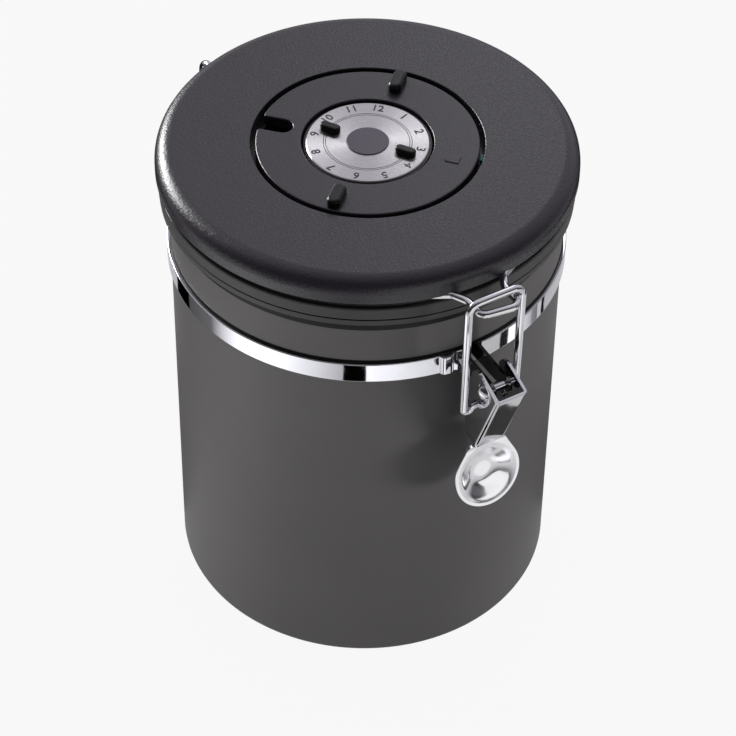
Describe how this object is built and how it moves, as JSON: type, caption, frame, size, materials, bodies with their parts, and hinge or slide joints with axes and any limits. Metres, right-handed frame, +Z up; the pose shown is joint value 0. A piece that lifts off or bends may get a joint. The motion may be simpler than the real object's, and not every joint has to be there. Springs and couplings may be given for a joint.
{
  "type": "coffee canister with valve",
  "caption": "Round steel coffee canister with a wire-bail latch, a hinged lid, date dials and a one-way valve in the lid.",
  "frame": {"origin": "centre of the foot ring, on the surface the canister stands on", "axes": "+Z up along the canister's axis, -Y towards the latch, +Y towards the hinge, +X to the right seen from the latch"},
  "size_m": [0.132, 0.1608, 0.1724],
  "materials": {
    "painted_steel": "satin",
    "polished_steel": "polished",
    "textured_lid": "fine leathery grain",
    "dial_plastic": "satin",
    "black_plastic": "satin",
    "spun_metal": "spun",
    "badge_plastic": "satin",
    "clear_silicone": "satin",
    "black_silicone": "satin",
    "teal_silicone": "satin",
    "filter_felt": "felt"
  },
  "bodies": {
    "canister": {"can_body": "painted_steel", "collar_ring": "painted_steel", "strap": "polished_steel", "latch_bracket": "polished_steel", "lever_pin": "polished_steel", "hinge_bracket": "polished_steel", "hinge_pin": "polished_steel"},
    "latch_lever": {"lever": "polished_steel"},
    "latch_bail": {"bail": "polished_steel"},
    "lid": {"lid_shell": "textured_lid", "hoop_wire": "polished_steel", "lid_frame": "black_plastic", "lid_seal": "black_silicone", "lid_screws": "polished_steel", "dial_well": "black_plastic", "dial_pads": "teal_silicone", "rotor_screw": "polished_steel", "valve_cup": "black_plastic", "valve_gasket": "clear_silicone", "valve_filter": "filter_felt", "valve_cap": "black_plastic"},
    "outer_dial": {"day_dial": "dial_plastic"},
    "inner_dial": {"month_rotor": "black_plastic", "number_plate": "spun_metal", "centre_badge": "badge_plastic"},
    "valve": {"valve_disc": "clear_silicone"}
  },
  "joints": [
    {"name": "lid_hinge", "type": "hinge", "parent": "canister", "child": "lid", "pos_m": [-0.00266, 0.06932, 0.13055], "axis": [-0.9993, -0.0384, 0], "range_deg": [0, 105]},
    {"name": "lever_pivot", "type": "hinge", "parent": "canister", "child": "latch_lever", "pos_m": [0, -0.0785, 0.1299], "axis": [-1, 0, 0], "range_deg": [0, 120]},
    {"name": "bail_pivot", "type": "hinge", "parent": "latch_lever", "child": "latch_bail", "pos_m": [0, -0.07457, 0.12147], "axis": [1, 0, 0], "range_deg": [0, 144]},
    {"name": "outer_dial_turn", "type": "hinge", "parent": "lid", "child": "outer_dial", "pos_m": [0, 0, 0.1684], "axis": [0, 0, 1], "continuous": true},
    {"name": "inner_dial_turn", "type": "hinge", "parent": "lid", "child": "inner_dial", "pos_m": [0, 0, 0.1684], "axis": [0, 0, 1], "continuous": true},
    {"name": "valve_lift", "type": "slide", "parent": "lid", "child": "valve", "axis": [0, 0, 1], "range_m": [0, 0.0006], "stiffness_N_per_m": 20}
  ],
  "couplings": [
    {"joint": "bail_pivot", "follows": "lever_pivot", "ratio": 1.2}
  ]
}
